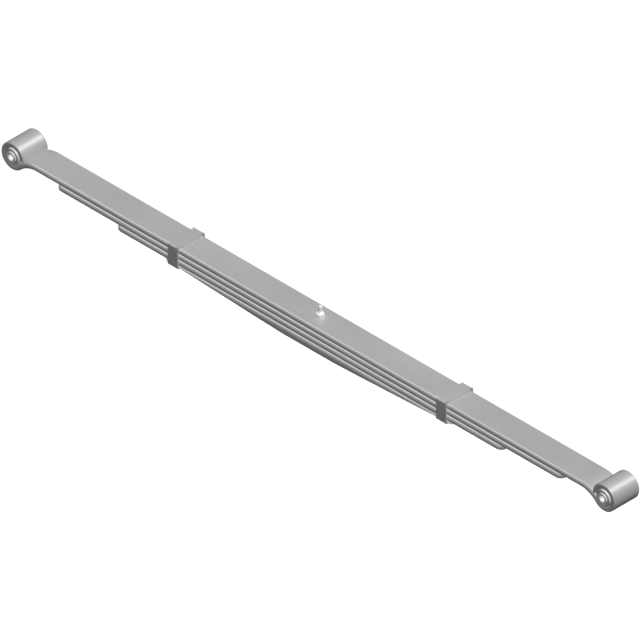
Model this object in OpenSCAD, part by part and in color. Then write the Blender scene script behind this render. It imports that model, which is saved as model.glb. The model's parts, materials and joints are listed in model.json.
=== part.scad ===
// Four-leaf suspension spring with rolled, bushed eyes.
// Origin: centre of the axle seat, on the underside of the fourth leaf.
// +X runs to the rear eye, +Y across the leaves, +Z up. Millimetres.

/* [Leaves] */
// Width of every leaf
leaf_w = 63.5; // [45:0.5:80]
// Thickness of the main, second and third leaves
leaf_t = 12; // [10:0.5:14]
// Distance between the two eye centres
eye_span = 1490; // [1400:10:1600]
// Tip to tip length of the second leaf
second_len = 1270; // [1100:10:1290]
// Tip to tip length of the third leaf
third_len = 970; // [860:2:1000]
// Tip to tip length of the fourth leaf
fourth_len = 728; // [720:2:800]
// Thickness of the fourth leaf at the axle seat
fourth_seat_t = 17.6; // [14:0.2:20]
// Thickness of the fourth leaf at its ends
fourth_tip_t = 2.2; // [2.2:0.1:4]
// Plan radius of the leaf tip corners
tip_corner_r = 12; // [8:1:20]
// Gap held by the upper and middle liners
liner_t = 0.8; // [0.5:0.1:1.5]
// Gap held by the lower liners
lower_liner_t = 0.5; // [0.4:0.1:1]

/* [Eyes and bushings] */
// Outer radius of a rolled eye
eye_r = 28; // [27:0.5:32]
// Radius of an eye's outer side edges
eye_edge_r = 2.25; // [1.5:0.25:4]
// How far an eye centre lies under the middle of the main leaf
eye_drop = 1; // [0:0.5:3]
// How far the bushing's steel shell stands past each side of the eye
shell_out = 0.25; // [0.25:0.25:2]
// Radius of the rubber's end flanges
flange_r = 16.5; // [16:0.5:22]
// Thickness of the rubber's end flanges
flange_t = 1.75; // [1.5:0.25:6]
// Outer radius of the inner sleeve
sleeve_r = 11; // [9:0.5:12]
// Radius of the sleeve's bolt hole
bore_r = 6.25; // [5:0.25:8]
// How far the inner sleeve stands past the rubber at each end
sleeve_out = 1.75; // [0.25:0.25:4]

/* [Centre bolt] */
// Shank radius of the centre bolt
bolt_r = 4.75; // [4:0.25:5]
// Radius of the locating head
head_r = 8; // [7:0.5:9]
// Height of the locating head below the seat
head_h = 7; // [5:0.5:9]
// Height of the nut
nut_h = 8.3; // [6:0.1:10]
// Across-corners radius of the nut
nut_r = 8.25; // [7.5:0.05:10]

/* [Clips] */
// Distance of each clip from the centre bolt
clip_x = 338; // [330:1:345]
// Width of a clip band along the leaf
clip_w = 25.4; // [20:0.2:30]
// Thickness of a clip band
clip_t = 2.5; // [2:0.1:3.5]
// Thickness of the strip between band and main leaf
clip_liner_t = 1; // [0.5:0.1:2]

/* [Hidden] */
$fn = 96;

// Heights of the leaves' undersides above the axle seat
third_z = fourth_seat_t + lower_liner_t;
second_z = third_z + leaf_t + liner_t;
main_z = second_z + leaf_t + liner_t;
main_mid_z = main_z + leaf_t / 2;
main_top_z = main_z + leaf_t;
eye_x = eye_span / 2;
eye_z = main_mid_z - eye_drop;

// Eye: the roll's mid radius, and the neck that joins it to the leaf.
// The neck's centre is 3 units inboard of the eye's and 4 below it, so the two arcs touch 5 units apart.
roll_r = eye_r - leaf_t / 2;
eye_in_r = eye_r - leaf_t;
neck_unit = roll_r + eye_drop;
neck_x = 3 * neck_unit;
neck_z = 4 * neck_unit;
neck_r = 5 * neck_unit - roll_r;
neck_angle = atan2(4, 3);
roll_sweep = 360 - neck_angle;

// Bushing: the shell sits in the eye, the rubber in the shell, and the sleeve turns in the rubber
shell_r = eye_in_r - 0.03;
rubber_r = shell_r - 1.47;
rubber_bore_r = sleeve_r + 0.05;
shell_len = leaf_w + 2 * shell_out;
rubber_len = shell_len + 2 * flange_t;
sleeve_len = rubber_len + 2 * sleeve_out;

// Bolt hole, and the spot face that lets the seat lie flat round the locating head
bolt_hole_r = bolt_r + 0.25;
spot_r = head_r + 1.5;
spot_depth = 0.5;

// Fourth leaf: thick over the seat, then thinning in two straight runs to its level ends
seat_half = 60;
fourth_mid_x = 200;
fourth_mid_z = 6.5;
fourth_end_x = 324;

// Centre liners
centre_liner_x = 120;
centre_liner_y = leaf_w - leaf_t - 1.5;

// Tip liners: a pad on the end of a leaf, with a button that sits in a pocket of that leaf
pad_len = 40;
pad_w = leaf_w - leaf_t - 3.5;
pad_corner_r = 6;
pad_inset = 3;
button_r = 6;
button_depth = 4;
pocket_gap = 0.2;

// Clip band
clip_side_gap = 0.2;
clip_bend_r = 0.15;
clip_out_y = leaf_w / 2 + clip_side_gap + clip_t;
fourth_tip_z = fourth_seat_t - fourth_tip_t;
clip_bottom_z = fourth_tip_z - clip_t;
clip_top_z = main_top_z + clip_liner_t + clip_t;
clip_liner_w = clip_w - 2;

// Clip rivet
rivet_r = 4;
rivet_hole_r = rivet_r + 0.05;
rivet_head_r = 7;
rivet_head_h = 2.5;
rivet_head_slope = 2;
rivet_sink_h = 1.6;
rivet_sink_r = 6;
rivet_sink_gap = 0.05;

// Centre bolt end: threaded length above the nut, then a thinner pilot
thread_above = 5.3;
pilot_r = 3.75;
pilot_end = 15.7;
bolt_chamfer = 0.7;
underhead_r = head_r - 0.5;
nut_chamfer = 1;
nut_bore_r = bolt_r + 0.05;

steel = "darkgray";
bright = "gainsboro";
dark = "dimgray";

// Lays a shape drawn in XY into the XZ plane
module in_xz() {
    rotate([90, 0, 0]) children();
}

// Leaf cross-section with full-round edges, width along the first axis
module leaf_section() {
    square([leaf_w - leaf_t, leaf_t], center = true);
    for (side = [-1, 1])
        translate([side * (leaf_w - leaf_t) / 2, 0])
            circle(d = leaf_t);
}

// Section of an eye's roll: full-round edges inside, tighter ones outside
module roll_section() {
    half = leaf_t / 2;
    leaf_section();
    translate([0, -half / 2])
        square([leaf_w - 2 * eye_edge_r, half], center = true);
    translate([0, -(half - eye_edge_r) / 2])
        square([leaf_w, half - eye_edge_r], center = true);
    for (side = [-1, 1])
        translate([side * (leaf_w / 2 - eye_edge_r), eye_edge_r - half])
            circle(r = eye_edge_r);
}

// Straight bar of leaf section, centred on the origin
module leaf_bar(length) {
    rotate([90, 0, 90])
        linear_extrude(height = length, center = true)
            leaf_section();
}

// A section swept round a circle in the XZ plane
module leaf_arc(radius, start, sweep) {
    in_xz()
        rotate([0, 0, start])
            rotate_extrude(angle = sweep)
                translate([radius, 0])
                    rotate(90)
                        children();
}

// Rectangle with true round corners, centred
module round_rect(x, y, r) {
    square([x - 2 * r, y], center = true);
    square([x, y - 2 * r], center = true);
    for (i = [-1, 1], j = [-1, 1])
        translate([i * (x / 2 - r), j * (y / 2 - r)])
            circle(r = r);
}

// Vertical hole for the centre bolt
module bolt_hole(z, h) {
    translate([0, 0, z - 1])
        cylinder(r = bolt_hole_r, h = h + 2);
}

// Places a child at the front (-1) or the rear (+1)
module at_end(side, x, z) {
    translate([side * x, 0, z]) children();
}

// One rolled eye with its neck, for the end at +X
module rolled_eye() {
    translate([eye_x, 0, eye_z]) {
        translate([-neck_x, 0, -neck_z])
            leaf_arc(neck_r, neck_angle, 90 - neck_angle)
                leaf_section();
        leaf_arc(roll_r, 180 + neck_angle, roll_sweep)
            roll_section();
    }
}

module main_leaf() {
    color(steel)
        difference() {
            union() {
                translate([0, 0, main_mid_z])
                    leaf_bar(2 * (eye_x - neck_x));
                rolled_eye();
                mirror([1, 0, 0]) rolled_eye();
            }
            bolt_hole(main_z, leaf_t);
        }
}

// Straight leaf with round tip corners and two pockets for its tip liners
module plain_leaf(length, z) {
    color(steel)
        difference() {
            intersection() {
                translate([0, 0, z + leaf_t / 2])
                    leaf_bar(length);
                translate([0, 0, z - 1])
                    linear_extrude(height = leaf_t + 2)
                        round_rect(length, leaf_w, tip_corner_r);
            }
            bolt_hole(z, leaf_t);
            for (side = [-1, 1])
                at_end(side, length / 2 - pad_inset - pad_len / 2, z + leaf_t - button_depth - pocket_gap)
                    cylinder(r = button_r + pocket_gap, h = button_depth + 1);
        }
}

// Fourth leaf's side view, thick at the seat and thin at its ends
module fourth_side() {
    half = fourth_len / 2;
    arm = [
        [seat_half, 0],
        [fourth_mid_x, fourth_mid_z],
        [fourth_end_x, fourth_tip_z],
        [half, fourth_tip_z],
        [half, fourth_seat_t]
    ];
    polygon(concat(arm, [for (i = [4:-1:0]) [-arm[i][0], arm[i][1]]]));
}

module fourth_leaf() {
    color(steel)
        difference() {
            intersection() {
                in_xz()
                    linear_extrude(height = leaf_w, center = true)
                        fourth_side();
                translate([0, 0, -1])
                    linear_extrude(height = fourth_seat_t + 2)
                        round_rect(fourth_len, leaf_w, tip_corner_r);
            }
            bolt_hole(0, fourth_seat_t);
            translate([0, 0, -1])
                cylinder(r = spot_r, h = spot_depth + 1);
            for (side = [-1, 1])
                at_end(side, clip_x, 0)
                    rivet_space();
        }
}

// Space that a clip rivet's shank and sunk head take in the fourth leaf
module rivet_space() {
    cylinder(r = rivet_hole_r, h = fourth_seat_t + 1);
    translate([0, 0, fourth_seat_t - rivet_sink_h - rivet_sink_gap])
        cylinder(r1 = rivet_r, r2 = rivet_sink_r, h = rivet_sink_h);
    translate([0, 0, fourth_seat_t - rivet_sink_gap])
        cylinder(r = rivet_sink_r, h = 1);
}

module centre_bolt() {
    nut_top_z = main_top_z + nut_h;
    color(bright) {
        translate([0, 0, -head_h + bolt_chamfer])
            cylinder(r = head_r, h = head_h - bolt_chamfer);
        translate([0, 0, -head_h])
            cylinder(r1 = head_r - bolt_chamfer, r2 = head_r, h = bolt_chamfer);
        cylinder(r = underhead_r, h = spot_depth);
        cylinder(r = bolt_r, h = nut_top_z + thread_above);
        translate([0, 0, nut_top_z])
            cylinder(r = pilot_r, h = pilot_end - bolt_chamfer);
        translate([0, 0, nut_top_z + pilot_end - bolt_chamfer])
            cylinder(r1 = pilot_r, r2 = pilot_r - bolt_chamfer, h = bolt_chamfer);
    }
}

module centre_nut() {
    color(bright)
        translate([0, 0, main_top_z])
            difference() {
                intersection() {
                    cylinder(r = nut_r, h = nut_h, $fn = 6);
                    union() {
                        cylinder(r = nut_r + 1, h = nut_h - nut_chamfer);
                        translate([0, 0, nut_h - nut_chamfer])
                            cylinder(r1 = nut_r + 0.4, r2 = nut_r - 1.2, h = nut_chamfer);
                    }
                }
                translate([0, 0, -1])
                    cylinder(r = nut_bore_r, h = nut_h + 2);
            }
}

module centre_liner(z, t) {
    color(dark)
        translate([0, 0, z])
            difference() {
                linear_extrude(height = t)
                    round_rect(centre_liner_x, centre_liner_y, pad_corner_r);
                bolt_hole(0, t);
            }
}

// Pad on the end of a leaf, with its button in the leaf's pocket
module tip_liner(side, length, z) {
    color(dark)
        at_end(side, length / 2 - pad_inset - pad_len / 2, z + leaf_t) {
            linear_extrude(height = liner_t)
                round_rect(pad_len, pad_w, pad_corner_r);
            translate([0, 0, -button_depth])
                cylinder(r = button_r, h = button_depth + liner_t);
        }
}

// Flat pad on the thin end of the fourth leaf, over the clip rivet
module thin_tip_liner(side) {
    color(dark)
        at_end(side, fourth_len / 2 - pad_inset - pad_len / 2, fourth_seat_t)
            linear_extrude(height = lower_liner_t)
                round_rect(pad_len, pad_w, pad_corner_r);
}

// Ring about an eye's axis, centred along it
module eye_ring(side, outer, inner, length) {
    at_end(side, eye_x, eye_z)
        in_xz()
            difference() {
                cylinder(r = outer, h = length, center = true);
                cylinder(r = inner, h = length + 2, center = true);
            }
}

module bushing_shell(side) {
    color(bright)
        eye_ring(side, shell_r, rubber_r, shell_len);
}

// Rubber with a flange past each end of the shell
module bushing_rubber(side) {
    color(dark)
        at_end(side, eye_x, eye_z)
            in_xz()
                difference() {
                    union() {
                        cylinder(r = rubber_r, h = rubber_len, center = true);
                        for (end = [-1, 1])
                            translate([0, 0, end * (shell_len + flange_t) / 2])
                                cylinder(r = flange_r, h = flange_t, center = true);
                    }
                    cylinder(r = rubber_bore_r, h = rubber_len + 2, center = true);
                }
}

module bushing_sleeve(side) {
    color(bright)
        eye_ring(side, sleeve_r, bore_r, sleeve_len);
}

// Closed steel band round all four leaves
module clip(side) {
    height = clip_top_z - clip_bottom_z;
    color(steel)
        at_end(side, clip_x, clip_bottom_z)
            difference() {
                rotate([90, 0, 90])
                    linear_extrude(height = clip_w, center = true)
                        translate([0, height / 2])
                            difference() {
                                round_rect(2 * clip_out_y, height, clip_t + clip_bend_r);
                                round_rect(2 * (clip_out_y - clip_t), height - 2 * clip_t, clip_bend_r);
                            }
                translate([0, 0, -1])
                    cylinder(r = rivet_hole_r, h = clip_t + 2);
            }
}

module clip_liner(side) {
    color(dark)
        at_end(side, clip_x, main_top_z)
            linear_extrude(height = clip_liner_t)
                round_rect(clip_liner_w, leaf_w - leaf_t, 2);
}

module clip_rivet(side) {
    color(bright)
        at_end(side, clip_x, 0) {
            translate([0, 0, clip_bottom_z])
                cylinder(r = rivet_r, h = fourth_seat_t - clip_bottom_z);
            translate([0, 0, fourth_seat_t - rivet_sink_h])
                cylinder(r1 = rivet_r, r2 = rivet_sink_r, h = rivet_sink_h);
            translate([0, 0, clip_bottom_z - rivet_head_h])
                cylinder(r1 = rivet_head_r - rivet_head_slope, r2 = rivet_head_r, h = rivet_head_h);
        }
}

main_leaf();
plain_leaf(second_len, second_z);  // second_leaf
plain_leaf(third_len, third_z);  // third_leaf
fourth_leaf();
centre_bolt();
centre_nut();
centre_liner(main_z - liner_t, liner_t);  // upper_centre_liner
centre_liner(second_z - liner_t, liner_t);  // middle_centre_liner
centre_liner(fourth_seat_t, lower_liner_t);  // lower_centre_liner
bushing_shell(-1);  // front_bushing_shell
bushing_rubber(-1);  // front_bushing_rubber
bushing_sleeve(-1);  // front_bushing_sleeve
bushing_shell(1);  // rear_bushing_shell
bushing_rubber(1);  // rear_bushing_rubber
bushing_sleeve(1);  // rear_bushing_sleeve
clip(-1);  // front_clip
clip(1);  // rear_clip
clip_liner(-1);  // front_clip_liner
clip_liner(1);  // rear_clip_liner
clip_rivet(-1);  // front_clip_rivet
clip_rivet(1);  // rear_clip_rivet
tip_liner(-1, second_len, second_z);  // second_leaf_front_tip_liner
tip_liner(1, second_len, second_z);  // second_leaf_rear_tip_liner
tip_liner(-1, third_len, third_z);  // third_leaf_front_tip_liner
tip_liner(1, third_len, third_z);  // third_leaf_rear_tip_liner
thin_tip_liner(-1);  // fourth_leaf_front_tip_liner
thin_tip_liner(1);  // fourth_leaf_rear_tip_liner
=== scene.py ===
"""Looks of a four-leaf suspension spring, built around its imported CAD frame.

The frame's axes: +X runs to the rear eye, +Y across the leaves, +Z up from the axle seat.
Sizes are in metres. MM turns the drawing sizes below into metres.
"""

import json
import math

import bmesh
import bpy
from mathutils import Matrix, Vector


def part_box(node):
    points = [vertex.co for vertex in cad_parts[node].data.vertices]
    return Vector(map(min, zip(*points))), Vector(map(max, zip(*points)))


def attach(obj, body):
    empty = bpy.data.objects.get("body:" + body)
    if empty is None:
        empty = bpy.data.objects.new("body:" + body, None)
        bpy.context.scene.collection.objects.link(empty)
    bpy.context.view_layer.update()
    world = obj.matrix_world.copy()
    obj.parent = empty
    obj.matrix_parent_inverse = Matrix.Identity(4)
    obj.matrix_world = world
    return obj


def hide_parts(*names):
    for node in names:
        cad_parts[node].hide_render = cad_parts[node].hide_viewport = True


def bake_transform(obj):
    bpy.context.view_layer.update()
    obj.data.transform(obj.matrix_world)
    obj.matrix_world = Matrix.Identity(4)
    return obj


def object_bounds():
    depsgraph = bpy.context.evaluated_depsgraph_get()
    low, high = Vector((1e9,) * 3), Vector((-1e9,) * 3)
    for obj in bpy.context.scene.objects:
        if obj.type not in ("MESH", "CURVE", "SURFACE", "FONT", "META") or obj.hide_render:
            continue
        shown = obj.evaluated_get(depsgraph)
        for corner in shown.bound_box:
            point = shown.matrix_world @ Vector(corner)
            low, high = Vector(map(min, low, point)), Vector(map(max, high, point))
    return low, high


MM = 0.001
ENDS = {"front": -1, "rear": 1}

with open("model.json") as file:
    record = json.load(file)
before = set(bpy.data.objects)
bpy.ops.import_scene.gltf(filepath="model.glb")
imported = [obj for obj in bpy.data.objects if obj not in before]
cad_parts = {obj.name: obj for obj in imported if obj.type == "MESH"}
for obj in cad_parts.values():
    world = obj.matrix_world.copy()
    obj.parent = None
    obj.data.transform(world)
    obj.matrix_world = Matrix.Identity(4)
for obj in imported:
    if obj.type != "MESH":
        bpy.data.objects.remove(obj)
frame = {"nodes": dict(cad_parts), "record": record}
cad_box = [list(corner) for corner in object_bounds()]
record = frame["record"]
mounts = {m["name"]: m for m in record["mounts"]}

# ---------------------------------------------------------------- sizes from the frame

plain_low, plain_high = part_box("second_leaf")
LEAF_W = plain_high[1] - plain_low[1]
LEAF_T = plain_high[2] - plain_low[2]
EYE_X = mounts["rear_eye_bore"]["pos_m"][0]
EYE_Z = mounts["rear_eye_bore"]["pos_m"][2]
BORE_R = mounts["rear_eye_bore"]["dims"]["r_mm"] * MM
EYE_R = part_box("main_leaf")[1][0] - EYE_X
MAIN_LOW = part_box("upper_centre_liner")[1][2]
MAIN_MID = MAIN_LOW + LEAF_T / 2

# The neck's arc starts level with the leaf and touches the roll. The CAD's has a wider radius.
ROLL_R = EYE_R - LEAF_T / 2
NECK_R = 60 * MM
NECK_DROP = NECK_R - (MAIN_MID - EYE_Z)
NECK_REACH = math.sqrt((NECK_R + ROLL_R) ** 2 - NECK_DROP**2)
NECK_ANGLE = math.degrees(math.atan2(NECK_DROP, NECK_REACH))

# ---------------------------------------------------------------- drawing sizes

RING_STEP = 8 * MM
NECK_STEP = 3
ROLL_STEP = 4.5
CORNER_STEPS = 10
ARC_STEPS = 7
FLAT_COLUMNS = 6
SUPPORT = 0.8 * MM
TIP_CORNER_R = 12 * MM
TIP_EDGE_R = 1.2 * MM
EYE_EDGE_R = 2.25 * MM
SLIT = 0.05 * MM
SHARP_ANGLE = 38
THREAD_SHARP_ANGLE = 32

# Fourth leaf's underside: level over the seat, then rising as a shallow parabola to its level end
SEAT_HALF = 60 * MM
THIN_START = 324 * MM
TAPER_MID = 200 * MM
TAPER_MID_RISE = 6.5 * MM
THIN_T = 2.2 * MM


# ---------------------------------------------------------------- mesh helpers


def link(name, mesh):
    """A new object for the mesh, in the row frame."""
    obj = bpy.data.objects.new(name, mesh)
    bpy.context.scene.collection.objects.link(obj)
    return obj


def finish_mesh(bm, name, sharp_angle=SHARP_ANGLE):
    """Closes off a bmesh as a smooth-shaded object with its hard edges kept."""
    bmesh.ops.remove_doubles(bm, verts=bm.verts, dist=1e-7)
    bmesh.ops.recalc_face_normals(bm, faces=bm.faces)
    for face in bm.faces:
        face.smooth = True
    mesh = bpy.data.meshes.new(name)
    bm.to_mesh(mesh)
    bm.free()
    mesh.set_sharp_from_angle(angle=math.radians(sharp_angle))
    return link(name, mesh)


def columns(flat):
    """Places across a flat of that half width, close to both of its edges and evenly between."""
    inner = [flat * (1 - 2 * k / FLAT_COLUMNS) for k in range(1, FLAT_COLUMNS)]
    return [flat - SUPPORT] + inner + [SUPPORT - flat]


def bar_section(width, thick, edge, under=None):
    """Points round a bar's section as (across, up), with round edges, its underside's by under."""
    most = min(thick / 2 - SLIT, width / 2 - SLIT)
    radii = {1: min(edge, most), -1: min(edge if under is None else under, most)}
    points = []
    for side_y, side_z, start in ((1, -1, -90), (1, 1, 0), (-1, 1, 90), (-1, -1, 180)):
        r = radii[side_z]
        centre = (side_y * (width / 2 - r), side_z * (thick / 2 - r))
        for k in range(ARC_STEPS + 1):
            a = math.radians(start + 90 * k / ARC_STEPS)
            points.append((centre[0] + r * math.cos(a), centre[1] + r * math.sin(a)))
    half = ARC_STEPS + 1
    top = [(y, thick / 2) for y in columns(width / 2 - radii[1])]
    bottom = [(-y, -thick / 2) for y in columns(width / 2 - radii[-1])]
    return points[: 2 * half] + top + points[2 * half :] + bottom


def sweep(name, stations, side):
    """A closed bar through stations of (x, z, normal x, normal z, section), to front or rear."""
    bm = bmesh.new()
    uv = bm.loops.layers.uv.new("UVMap")
    rings = []
    run = [0.0]
    for i, (x, z, nx, nz, section) in enumerate(stations):
        if i:
            run.append(run[-1] + math.dist((x, z), stations[i - 1][:2]))
        ring = [bm.verts.new((side * (x + up * nx), across, z + up * nz)) for across, up in section]
        rings.append(ring)
    count = len(rings[0])
    girth = 2 * (LEAF_W + LEAF_T) / count
    for i in range(len(rings) - 1):
        for j in range(count):
            k = (j + 1) % count
            face = bm.faces.new((rings[i][j], rings[i + 1][j], rings[i + 1][k], rings[i][k]))
            corners = ((run[i], j), (run[i + 1], j), (run[i + 1], j + 1), (run[i], j + 1))
            for loop, (u, v) in zip(face.loops, corners):
                loop[uv].uv = (u, v * girth)
    bm.faces.new(rings[0])
    bm.faces.new(rings[-1])
    return finish_mesh(bm, name)


def lathe(name, outline, centre, steps=96, axis="Y"):
    """A closed ring or plug: an outline of (along, radius) turned about an axis through centre."""
    bm = bmesh.new()
    rings = []
    for k in range(steps):
        a = 2 * math.pi * k / steps
        ring = []
        for along, radius in outline:
            flat = (radius * math.cos(a), radius * math.sin(a))
            if axis == "Y":
                place = Vector((flat[0], along, flat[1]))
            else:
                place = Vector((flat[0], flat[1], along))
            ring.append(bm.verts.new(place + Vector(centre)))
        rings.append(ring)
    count = len(outline)
    for k in range(steps):
        here, after = rings[k], rings[(k + 1) % steps]
        for j in range(count):
            n = (j + 1) % count
            if outline[j][1] < 1e-9 and outline[n][1] < 1e-9:
                continue
            bm.faces.new((here[j], here[n], after[n], after[j]))
    bmesh.ops.remove_doubles(bm, verts=bm.verts, dist=1e-7)
    bmesh.ops.dissolve_degenerate(bm, edges=bm.edges, dist=1e-8)
    return finish_mesh(bm, name)


def arc_points(centre, radius, start, sweep_angle, steps):
    """Points of an arc, in degrees, as (first, second) coordinates."""
    points = []
    for k in range(steps + 1):
        a = math.radians(start + sweep_angle * k / steps)
        points.append((centre[0] + radius * math.cos(a), centre[1] + radius * math.sin(a)))
    return points


def steps_between(start, stop, step):
    """Even stations from start to stop, both included."""
    count = max(1, round(abs(stop - start) / step))
    return [start + (stop - start) * k / count for k in range(count + 1)]


# ---------------------------------------------------------------- materials


class Nodes:
    """A short way to build one material's node tree."""

    def __init__(self, name):
        self.material = bpy.data.materials.new(name)
        self.material.use_nodes = True
        self.tree = self.material.node_tree
        self.shader = self.tree.nodes["Principled BSDF"]

    def add(self, kind, **values):
        node = self.tree.nodes.new(kind)
        for key, value in values.items():
            setattr(node, key, value)
        return node

    def join(self, source, target):
        self.tree.links.new(source, target)

    def coordinates(self, stretch=(1, 1, 1), uv=False):
        """Surface coordinates in metres, stretched."""
        coord = self.add("ShaderNodeTexCoord")
        mapping = self.add("ShaderNodeMapping")
        mapping.inputs["Scale"].default_value = stretch
        self.join(coord.outputs["UV" if uv else "Object"], mapping.inputs["Vector"])
        return mapping.outputs["Vector"]

    def noise(self, vector, scale, detail=4, roughness=0.55):
        """A noise texture's grey value."""
        node = self.add("ShaderNodeTexNoise")
        node.inputs["Scale"].default_value = scale
        node.inputs["Detail"].default_value = detail
        node.inputs["Roughness"].default_value = roughness
        self.join(vector, node.inputs["Vector"])
        return node.outputs["Fac"]

    def remap(self, value, low, high, from_low=0.3, from_high=0.7):
        """The value's usual spread taken to low..high."""
        node = self.add("ShaderNodeMapRange")
        node.inputs["From Min"].default_value = from_low
        node.inputs["From Max"].default_value = from_high
        node.inputs["To Min"].default_value = low
        node.inputs["To Max"].default_value = high
        self.join(value, node.inputs["Value"])
        return node.outputs["Result"]

    def shade(self, value, color, spread):
        """A colour that runs from a little darker to a little lighter with the value."""
        mix = self.add("ShaderNodeMix", data_type="RGBA")
        dark = [c * (1 - spread) for c in color]
        light = [min(1, c * (1 + spread)) for c in color]
        mix.inputs["A"].default_value = (*dark, 1)
        mix.inputs["B"].default_value = (*light, 1)
        self.join(self.remap(value, 0, 1), mix.inputs["Factor"])
        return mix.outputs["Result"]

    def bump(self, value, height, under=None):
        """A bump of that height in metres, on top of another."""
        node = self.add("ShaderNodeBump")
        node.inputs["Distance"].default_value = height
        node.inputs["Strength"].default_value = 1
        self.join(value, node.inputs["Height"])
        if under is not None:
            self.join(under, node.inputs["Normal"])
        return node.outputs["Normal"]


def slot_color(name):
    """The record's base colour of a material slot."""
    for material in record["materials"]:
        if material["slot"] == name:
            return material["base_color"][:3]
    raise KeyError(name)


def painted_steel(slot, uv, streaks):
    """Satin grey paint over steel, with orange peel and soft clouds.

    Faint rolling lines make up a share, streaks, of its unevenness.
    """
    n = Nodes(slot)
    lines = n.noise(n.coordinates((3, 260, 260), uv), 1, detail=3)
    clouds = n.noise(n.coordinates(), 9, detail=5)
    peel = n.noise(n.coordinates(), 850, detail=2)
    pits = n.noise(n.coordinates(), 260, detail=3)
    mixed = n.add("ShaderNodeMath", operation="MULTIPLY_ADD")
    mixed.inputs[1].default_value = streaks
    n.join(lines, mixed.inputs[0])
    rest = n.add("ShaderNodeMath", operation="MULTIPLY")
    rest.inputs[1].default_value = 1 - streaks
    n.join(clouds, rest.inputs[0])
    n.join(rest.outputs[0], mixed.inputs[2])
    n.join(n.shade(mixed.outputs[0], slot_color(slot), 0.05), n.shader.inputs["Base Color"])
    n.join(n.remap(mixed.outputs[0], 0.40, 0.52), n.shader.inputs["Roughness"])
    relief = n.bump(pits, 0.03 * MM, n.bump(peel, 0.012 * MM))
    n.join(relief, n.shader.inputs["Normal"])
    n.shader.inputs["Metallic"].default_value = 0.25
    return n.material


def plated_steel(slot, roughness):
    """Matt plated steel with a fine turned grain and a slightly uneven gloss."""
    n = Nodes(slot)
    clouds = n.noise(n.coordinates(), 120, detail=4)
    grain = n.noise(n.coordinates((300, 300, 4000)), 1, detail=2)
    n.join(n.shade(clouds, slot_color(slot), 0.04), n.shader.inputs["Base Color"])
    n.join(n.remap(clouds, roughness - 0.05, roughness + 0.08), n.shader.inputs["Roughness"])
    n.join(n.bump(grain, 0.006 * MM), n.shader.inputs["Normal"])
    n.shader.inputs["Metallic"].default_value = 0.15
    return n.material


def moulded(slot, roughness, grain_scale, grain_height):
    """Moulded rubber or plastic, with a fine matt grain and faint clouds."""
    n = Nodes(slot)
    clouds = n.noise(n.coordinates(), 60, detail=4)
    grain = n.noise(n.coordinates(), grain_scale, detail=3)
    n.join(n.shade(clouds, slot_color(slot), 0.07), n.shader.inputs["Base Color"])
    n.join(n.remap(grain, roughness - 0.06, roughness + 0.06), n.shader.inputs["Roughness"])
    n.join(n.bump(grain, grain_height), n.shader.inputs["Normal"])
    return n.material


materials = {
    "leaf_steel": painted_steel("leaf_steel", uv=True, streaks=0.45),
    "clip_steel": painted_steel("clip_steel", uv=False, streaks=0.2),
    "zinc": plated_steel("zinc", roughness=0.5),
    "shell_steel": plated_steel("shell_steel", roughness=0.5),
    "rubber": moulded("rubber", roughness=0.62, grain_scale=900, grain_height=0.02 * MM),
    "liner": moulded("liner", roughness=0.55, grain_scale=1400, grain_height=0.01 * MM),
}


def dress(obj, slot):
    """Gives an object one of the materials above, in place of any that it has."""
    obj.data.materials.clear()
    obj.data.materials.append(materials[slot])


# ---------------------------------------------------------------- leaves


def straight_stations(x_start, x_stop, z_mid, section):
    """Level stations along a leaf, all with one section."""
    return [(x, z_mid, 0, 1, section) for x in steps_between(x_start, x_stop, RING_STEP)]


def tip_stations(x_tip, z_mid, thick, edge):
    """The last stretch of a leaf, with round corners in plan and a softened end face."""
    stations = []
    for k in range(1, CORNER_STEPS + 1):
        a = math.radians(90 * k / CORNER_STEPS)
        x = x_tip - TIP_CORNER_R * (1 - math.sin(a))
        width = LEAF_W - 2 * TIP_CORNER_R * (1 - math.cos(a))
        inset = max(0.0, TIP_EDGE_R - (x_tip - x))
        drop = TIP_EDGE_R - math.sqrt(max(0.0, TIP_EDGE_R**2 - inset**2))
        drop = min(drop, thick / 2 - 2 * SLIT)
        stations.append((x, z_mid, 0, 1, bar_section(width - 2 * drop, thick - 2 * drop, edge)))
    return stations


def main_half():
    """Half of the main leaf, from the centre bolt to the end of its rolled eye.

    The bar's underside becomes the outside of the roll, and its edges tighten along the neck.
    """
    full = LEAF_T / 2
    neck_x = EYE_X - NECK_REACH
    neck_z = EYE_Z - NECK_DROP
    stations = straight_stations(0, neck_x, MAIN_MID, bar_section(LEAF_W, LEAF_T, full))
    for angle in steps_between(90, NECK_ANGLE, NECK_STEP)[1:]:
        c, s = math.cos(math.radians(angle)), math.sin(math.radians(angle))
        under = full + (EYE_EDGE_R - full) * (90 - angle) / (90 - NECK_ANGLE)
        section = bar_section(LEAF_W, LEAF_T, full, under)
        stations.append((neck_x + NECK_R * c, neck_z + NECK_R * s, c, s, section))
    section = bar_section(LEAF_W, LEAF_T, full, EYE_EDGE_R)
    for angle in steps_between(180 + NECK_ANGLE, 180 + 360, ROLL_STEP)[1:]:
        c, s = math.cos(math.radians(angle)), math.sin(math.radians(angle))
        stations.append((EYE_X + ROLL_R * c, EYE_Z + ROLL_R * s, -c, -s, section))
    return stations


def plain_half(node):
    """Half of the second or third leaf."""
    low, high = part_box(node)
    z_mid = (low[2] + high[2]) / 2
    section = bar_section(LEAF_W, LEAF_T, LEAF_T / 2)
    body = straight_stations(0, high[0] - TIP_CORNER_R, z_mid, section)
    return body + tip_stations(high[0], z_mid, LEAF_T, LEAF_T / 2)


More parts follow.
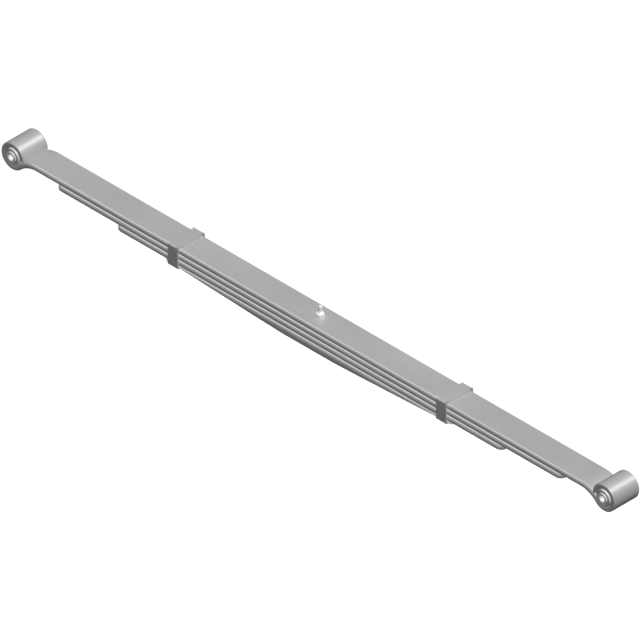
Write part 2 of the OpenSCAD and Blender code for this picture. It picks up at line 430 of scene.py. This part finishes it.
def taper_rise(x):
    """Height of the fourth leaf's underside over the seat, at a distance from the centre."""
    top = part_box("fourth_leaf")[1][2]
    if x <= SEAT_HALF:
        return 0.0
    end_rise = top - THIN_T
    if x >= THIN_START:
        return end_rise
    mid, end = TAPER_MID - SEAT_HALF, THIN_START - SEAT_HALF
    curve = (end_rise / end - TAPER_MID_RISE / mid) / (end - mid)
    slope = TAPER_MID_RISE / mid - curve * mid
    run = x - SEAT_HALF
    return slope * run + curve * run * run


def fourth_half():
    """Half of the fourth leaf: thick over the seat, thin and level at its end."""
    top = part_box("fourth_leaf")[1][2]
    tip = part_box("fourth_leaf")[1][0]
    stations = []
    for x in steps_between(0, tip - TIP_CORNER_R, RING_STEP / 2):
        low = taper_rise(x)
        stations.append((x, (top + low) / 2, 0, 1, bar_section(LEAF_W, top - low, LEAF_T / 2)))
    return stations + tip_stations(tip, top - THIN_T / 2, THIN_T, THIN_T / 2)


def make_leaves():
    """Both halves of each leaf, in place of the plain CAD ones."""
    shapes = {
        "main_leaf": main_half(),
        "second_leaf": plain_half("second_leaf"),
        "third_leaf": plain_half("third_leaf"),
        "fourth_leaf": fourth_half(),
    }
    for node, stations in shapes.items():
        for end, side in ENDS.items():
            half = sweep(f"{node}_{end}_half", stations, side)
            dress(half, "leaf_steel")
            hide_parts(node)
            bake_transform(half)


make_leaves()

# ---------------------------------------------------------------- bushings

FLANGE_ROUND = 0.8 * MM
BACK_ROUND = 0.3 * MM
GROOVE_DEPTH = 1 * MM
GROOVE_W = 1.7 * MM
SHELL_WALL = 1.47 * MM
SLEEVE_CHAMFER = 0.7 * MM
MOUTH_CHAMFER = 0.5 * MM


def mirrored_outline(half):
    """Closes an outline given for the +Y half, from the bore outwards, with its mirror."""
    return half + [(-along, radius) for along, radius in reversed(half)]


def rubber_outline(end):
    """Rubber with rounded flanges and a moat round the inner sleeve."""
    low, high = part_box(f"{end}_bushing_rubber")
    face = high[1]
    flange_r = high[0] - (low[0] + high[0]) / 2
    shell_low, shell_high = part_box(f"{end}_bushing_shell")
    shell_end = shell_high[1]
    sleeve_low, sleeve_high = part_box(f"{end}_bushing_sleeve")
    bore = (sleeve_high[0] - sleeve_low[0]) / 2 + 0.05 * MM
    body_r = (shell_high[0] - shell_low[0]) / 2 - SHELL_WALL
    half = [(face - GROOVE_DEPTH, bore), (face - GROOVE_DEPTH, bore + GROOVE_W * 0.6)]
    half += [(face - 0.3 * MM, bore + GROOVE_W), (face, bore + GROOVE_W + 0.3 * MM)]
    half += arc_points((face - FLANGE_ROUND, flange_r - FLANGE_ROUND), FLANGE_ROUND, 0, 90, 5)
    back = BACK_ROUND
    half += arc_points((shell_end + back, flange_r - back), back, 90, 90, 3)
    half += [(shell_end, body_r)]
    return mirrored_outline(half)


def sleeve_outline(end):
    """Inner sleeve: turned tube with chamfered ends, a chamfered mouth and a faced end."""
    low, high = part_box(f"{end}_bushing_sleeve")
    face, r = high[1], (high[0] - low[0]) / 2
    half = [
        (face - MOUTH_CHAMFER, BORE_R),
        (face, BORE_R + MOUTH_CHAMFER),
        (face, r - SLEEVE_CHAMFER),
        (face - SLEEVE_CHAMFER, r),
    ]
    return mirrored_outline(half)


def make_bushings():
    """The rubber and the inner sleeve of both bushings, in place of the plain CAD ones."""
    for end, side in ENDS.items():
        centre = (side * EYE_X, 0, EYE_Z)
        rubber = lathe(f"{end}_rubber", rubber_outline(end), centre)
        dress(rubber, "rubber")
        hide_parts(f"{end}_bushing_rubber")
        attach(rubber, f"{end}_arm")
        sleeve = lathe(f"{end}_sleeve_tube", sleeve_outline(end), centre)
        dress(sleeve, "shell_steel")
        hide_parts(f"{end}_bushing_sleeve")
        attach(sleeve, f"{end}_sleeve")


make_bushings()

# ---------------------------------------------------------------- clips

CLIP_BEND_R = 3.1 * MM
CLIP_EDGE_R = 0.25 * MM
CLIP_COLUMN = 2.4 * MM
CLIP_RING = 2.5 * MM
CLIP_LONG_GAP = 4 * MM
BEND_STEPS = 6

# The band's rims stand up by EAR_RISE at the top bends, over the outer part of its width
EAR_RISE = 2.4 * MM
EAR_REACH = 6 * MM
EAR_START = 0.72

RIVET_SHANK_R = 4 * MM
RIVET_SINK = 2 * MM
RIVET_SINK_H = 1.6 * MM
DOME_STEPS = 8


def clip_path(half_y, low, high, bend):
    """The band's outer outline as (y, z, normal y, normal z), once round with round bends."""
    path = []
    corners = ((1, 1, 0), (-1, 1, 90), (-1, -1, 180), (1, -1, 270))
    mid, half_z = (low + high) / 2, (high - low) / 2
    for side_y, side_z, start in corners:
        centre = (side_y * (half_y - bend), mid + side_z * (half_z - bend))
        for k in range(BEND_STEPS + 1):
            a = math.radians(start + 90 * k / BEND_STEPS)
            normal = (math.cos(a), math.sin(a))
            path.append((centre[0] + bend * normal[0], centre[1] + bend * normal[1], *normal))
    refined = []
    for i, here in enumerate(path):
        after = path[(i + 1) % len(path)]
        refined.append(here)
        gap = math.dist(here[:2], after[:2])
        if gap > CLIP_LONG_GAP:
            parts = round(gap / CLIP_RING)
            for k in range(1, parts):
                t = k / parts
                refined.append(tuple(a + (b - a) * t for a, b in zip(here, after)))
    return refined


def clip_band(name, end):
    """A closed strap with softened edges, its rims bulged up where the top bends are tight."""
    low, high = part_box(f"{end}_clip")
    thick = high[2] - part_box(f"{end}_clip_liner")[1][2]
    x_mid, half_x = (low[0] + high[0]) / 2, (high[0] - low[0]) / 2
    path = clip_path(high[1], low[2], high[2], CLIP_BEND_R)
    inner_x = half_x - CLIP_EDGE_R
    outer_columns = steps_between(inner_x - SUPPORT, SUPPORT - inner_x, CLIP_COLUMN)
    inner_columns = steps_between(SUPPORT - inner_x, inner_x - SUPPORT, CLIP_COLUMN)
    section = []
    for side_x, side_d, start in ((1, 0, 0), (-1, 0, 90), (-1, 1, 180), (1, 1, 270)):
        depth = -CLIP_EDGE_R if side_d == 0 else -thick + CLIP_EDGE_R
        for k in range(4):
            a = math.radians(start + 30 * k)
            x = side_x * inner_x + CLIP_EDGE_R * math.cos(a)
            section.append((x, depth + CLIP_EDGE_R * math.sin(a)))
        if side_x > 0 and side_d == 0:
            section += [(x, 0) for x in outer_columns]
        if side_x < 0 and side_d == 1:
            section += [(x, -thick) for x in inner_columns]
    bm = bmesh.new()
    rings = []
    for y, z, ny, nz in path:
        from_bend = (high[1] - abs(y)) / EAR_REACH
        near_bend = math.exp(-(from_bend**2)) if z > high[2] - 2 * thick else 0.0
        ring = []
        for x, depth in section:
            rim = max(0.0, (abs(x) / half_x - EAR_START) / (1 - EAR_START)) ** 2
            outside = depth > -thick / 2
            ear = EAR_RISE * near_bend * rim * max(0.0, nz) if outside else 0.0
            ring.append(bm.verts.new((x_mid + x, y + ny * depth, z + nz * depth + ear)))
        rings.append(ring)
    count = len(section)
    for i, ring in enumerate(rings):
        after = rings[(i + 1) % len(rings)]
        for j in range(count):
            k = (j + 1) % count
            bm.faces.new((ring[j], after[j], after[k], ring[k]))
    return finish_mesh(bm, name)


def rivet_outline(end):
    """A button-headed rivet, from its flush top down to the dome under the band."""
    low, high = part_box(f"{end}_clip_rivet")
    head_r = (high[0] - low[0]) / 2
    strap_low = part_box(f"{end}_clip")[0][2]
    head_h = strap_low - low[2]
    outline = [(high[2], 0), (high[2], RIVET_SHANK_R + RIVET_SINK)]
    outline += [(high[2] - RIVET_SINK_H, RIVET_SHANK_R), (strap_low, RIVET_SHANK_R)]
    for k in range(DOME_STEPS + 1):
        a = math.radians(90 * k / DOME_STEPS)
        outline.append((strap_low - head_h * math.sin(a), max(0.0, head_r * math.cos(a))))
    return outline, (low[0] + high[0]) / 2


def make_clips():
    """Both bands with their rivets, in place of the plain CAD ones."""
    for end in ENDS:
        band = clip_band(f"{end}_clip_band", end)
        dress(band, "clip_steel")
        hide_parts(f"{end}_clip")
        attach(band, f"{end}_arm")
        outline, x = rivet_outline(end)
        rivet = lathe(f"{end}_rivet", outline, (x, 0, 0), steps=48, axis="Z")
        dress(rivet, "clip_steel")
        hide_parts(f"{end}_clip_rivet")
        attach(rivet, f"{end}_arm")


make_clips()

# ---------------------------------------------------------------- centre bolt

THREAD_PITCH = 1.25 * MM
THREAD_DEPTH = 0.65 * MM
THREAD_R = 4.75 * MM
THREAD_ABOVE = 5.3 * MM
PILOT_R = 3.75 * MM
PILOT_CHAMFER = 0.7 * MM
HEAD_CHAMFER = 0.7 * MM
HEAD_R = 8 * MM
THREAD_HIDDEN = 1 * MM
THREAD_RUNOUT = 0.8 * MM
PILOT_STEP = 0.3 * MM
SHANK_RING = 12 * MM
THREAD_RING = 0.12 * MM
BOLT_SIDES = 64


def bolt_radius(z, turn, head_low, nut_top, top):
    """The radius at a height and a fraction of a turn: head, shank, helical thread or pilot."""
    if z < -1e-6:
        return HEAD_R - max(0.0, HEAD_CHAMFER - (z - head_low))
    thread_top = nut_top + THREAD_ABOVE
    if z > thread_top + PILOT_STEP:
        return PILOT_R - max(0.0, PILOT_CHAMFER - (top - z))
    if z < nut_top - THREAD_HIDDEN:
        return THREAD_R
    phase = (z / THREAD_PITCH - turn) % 1
    depth = THREAD_DEPTH * abs(2 * phase - 1)
    runout = max(0.0, min(1.0, (thread_top - z) / THREAD_RUNOUT))
    return PILOT_R + max(0.0, THREAD_R - depth - PILOT_R) * runout


def make_bolt():
    """The centre bolt, with a true helical thread where it stands out of the nut."""
    low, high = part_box("centre_bolt")
    nut_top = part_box("centre_nut")[1][2]
    head_low, top = low[2], high[2]
    heights = [head_low, head_low + HEAD_CHAMFER, -1e-5, 0.0]
    heights += steps_between(0.5 * MM, nut_top - THREAD_HIDDEN, SHANK_RING)
    thread_stop = nut_top + THREAD_ABOVE + PILOT_STEP
    heights += steps_between(nut_top - THREAD_HIDDEN, thread_stop, THREAD_RING)[1:]
    heights += [nut_top + THREAD_ABOVE + 0.4 * MM, top - PILOT_CHAMFER, top]
    bm = bmesh.new()
    rings = []
    for z in heights:
        ring = []
        for k in range(BOLT_SIDES):
            a = 2 * math.pi * k / BOLT_SIDES
            r = bolt_radius(z, k / BOLT_SIDES, head_low, nut_top, top)
            ring.append(bm.verts.new((r * math.cos(a), r * math.sin(a), z)))
        rings.append(ring)
    for lower, upper in zip(rings, rings[1:]):
        for k in range(BOLT_SIDES):
            n = (k + 1) % BOLT_SIDES
            bm.faces.new((lower[k], lower[n], upper[n], upper[k]))
    bm.faces.new(rings[0])
    bm.faces.new(rings[-1])
    bolt = finish_mesh(bm, "centre_bolt_turned", THREAD_SHARP_ANGLE)
    dress(bolt, "zinc")
    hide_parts("centre_bolt")
    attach(bolt, "leaf_pack")


make_bolt()

# ---------------------------------------------------------------- CAD nodes that keep their shape

for subpart in record["subparts"]:
    node_object = frame["nodes"][subpart["node"]]
    dress(node_object, subpart["material_slot"])

# ---------------------------------------------------------------- stage, light and camera

FLOOR_SIZE = 12
FLOOR_DROP = 1.2
AMBIENT = 0.10
VIEW_WIDTH = 1.1402
VIEW_DISTANCE = 4
VIEW_RIGHT = Vector((1, 1, 0)).normalized()
VIEW_UP = Vector((-1, 1, 2)).normalized()
VIEW_BACK = Vector((1, -1, 1)).normalized()
NUDGE_RIGHT = 0.6 * MM
NUDGE_UP = 0.6 * MM


def make_floor():
    """A pale floor that is seen but throws no light back onto the undersides."""
    n = Nodes("pale_floor")
    n.shader.inputs["Base Color"].default_value = (0.95, 0.95, 0.95, 1)
    n.shader.inputs["Roughness"].default_value = 0.9
    n.shader.inputs["Specular IOR Level"].default_value = 0.0
    mesh = bpy.data.meshes.new("floor")
    half = FLOOR_SIZE / 2
    z = cad_box[0][2] - FLOOR_DROP
    corners = [(-half, -half, z), (half, -half, z), (half, half, z), (-half, half, z)]
    mesh.from_pydata(corners, [], [(0, 1, 2, 3)])
    floor = link("floor", mesh)
    mesh.materials.append(n.material)
    floor.visible_diffuse = False
    floor.visible_glossy = False


def soft_sun(name, direction, strength, spread, sheen_only=False):
    """A shadowless light from a direction, as soft as its spread in degrees."""
    data = bpy.data.lights.new(name, "SUN")
    data.energy = strength
    data.use_shadow = False
    data.angle = math.radians(spread)
    lamp = bpy.data.objects.new(name, data)
    bpy.context.scene.collection.objects.link(lamp)
    lamp.visible_diffuse = not sheen_only
    lamp.rotation_euler = Vector(direction).to_track_quat("Z", "Y").to_euler()


def make_light():
    """A white world that lights at AMBIENT, two suns, and a third that adds gloss alone."""
    world = bpy.data.worlds.new("studio")
    world.use_nodes = True
    tree = world.node_tree
    background = tree.nodes["Background"]
    background.inputs["Color"].default_value = (1, 1, 1, 1)
    path = tree.nodes.new("ShaderNodeLightPath")
    strength = tree.nodes.new("ShaderNodeMapRange")
    strength.inputs["To Min"].default_value = AMBIENT
    strength.inputs["To Max"].default_value = 1.0
    tree.links.new(path.outputs["Is Camera Ray"], strength.inputs["Value"])
    tree.links.new(strength.outputs["Result"], background.inputs["Strength"])
    bpy.context.scene.world = world
    bpy.context.scene.view_settings.view_transform = "Standard"
    soft_sun("key", (0.45, -0.25, 0.86), 2.85, 20)
    soft_sun("back", (0.35, 0.58, 0.74), 1.2, 16)
    soft_sun("edge", (-0.58, -0.19, 0.80), 0.9, 16, sheen_only=True)


def make_camera():
    """An isometric view from the +X, -Y side, nudged to frame the part as the photograph does."""
    data = bpy.data.cameras.new("camera")
    data.type = "ORTHO"
    data.ortho_scale = VIEW_WIDTH
    data.clip_end = 30
    camera = bpy.data.objects.new("camera", data)
    bpy.context.scene.collection.objects.link(camera)
    target = Vector((0, 0, MAIN_MID)) - VIEW_RIGHT * NUDGE_RIGHT - VIEW_UP * NUDGE_UP
    axes = Matrix((VIEW_RIGHT, VIEW_UP, VIEW_BACK)).transposed()
    camera.matrix_world = Matrix.Translation(target + VIEW_BACK * VIEW_DISTANCE) @ axes.to_4x4()
    bpy.context.scene.camera = camera


make_floor()
make_light()
make_camera()
